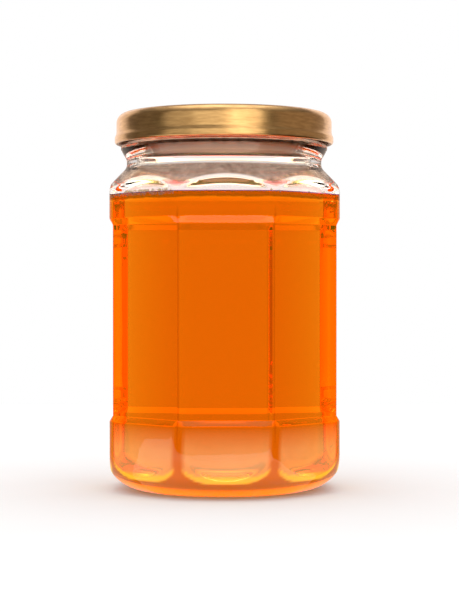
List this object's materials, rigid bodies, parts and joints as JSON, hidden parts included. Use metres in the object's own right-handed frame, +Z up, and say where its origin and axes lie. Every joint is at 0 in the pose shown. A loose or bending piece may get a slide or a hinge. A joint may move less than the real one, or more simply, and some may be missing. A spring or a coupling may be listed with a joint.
{
  "type": "honey jar",
  "caption": "Octagonal clear glass jar of honey with banded shoulder and base, a round neck and a gold metal lug cap.",
  "frame": {"origin": "middle of the base, on the surface that the jar stands on", "axes": "+Z up along the jar's axis, with one flat panel facing -Y"},
  "size_m": [0.073, 0.073, 0.1208],
  "materials": {
    "clear_glass": "smooth, clear, colourless moulded glass",
    "honey": "clear deep orange liquid",
    "gold_tinplate": "gold lacquered tinplate, satin"
  },
  "bodies": {
    "root": {"jar": "clear_glass", "honey": "honey", "lid": "gold_tinplate"}
  },
  "joints": []
}
